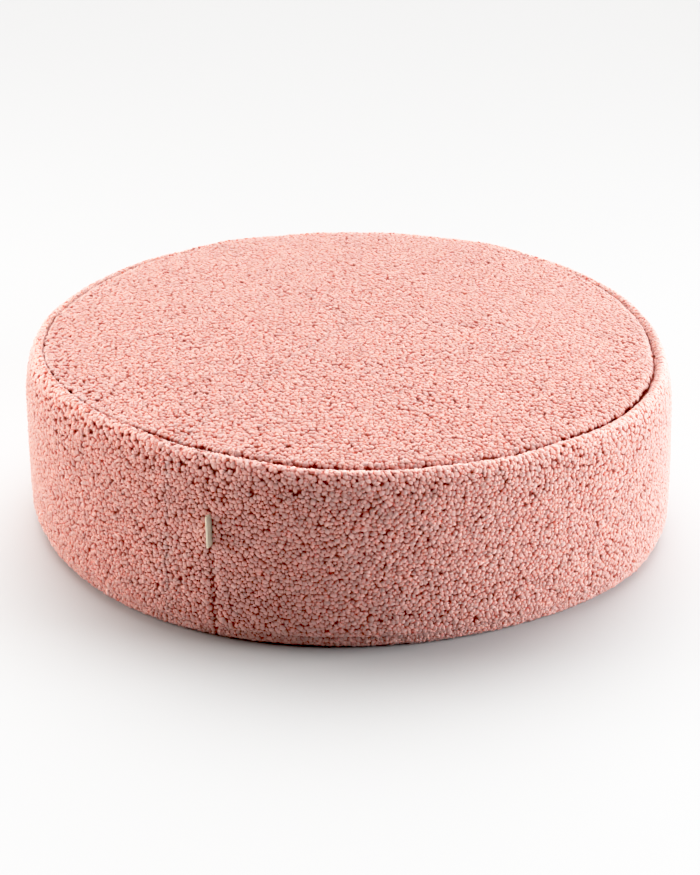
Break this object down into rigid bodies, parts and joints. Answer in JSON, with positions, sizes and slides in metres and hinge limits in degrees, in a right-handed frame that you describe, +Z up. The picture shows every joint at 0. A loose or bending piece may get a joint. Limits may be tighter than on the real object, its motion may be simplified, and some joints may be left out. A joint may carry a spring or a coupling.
{
  "type": "round floor ottoman",
  "caption": "Low round floor ottoman in curly pile cloth: a crowned top panel and a flat bottom panel sewn to an upright side band, with a small folded tape tab in the band's seam.",
  "frame": {"origin": "on the floor under the middle of the round bottom panel", "axes": "+Z up through the middle of the top panel, -Y towards the front, +X to the right seen from the front"},
  "size_m": [0.7984, 0.8014, 0.236],
  "materials": {
    "pile_cloth": "rose pink curly pile cloth, matt, with soft knotted curls and darker hollows between them",
    "cotton_tape": "cream woven cotton tape, matt"
  },
  "bodies": {
    "root": {"top_panel": "pile_cloth", "side_band": "pile_cloth", "bottom_panel": "pile_cloth", "tape_tab": "cotton_tape"}
  },
  "joints": []
}
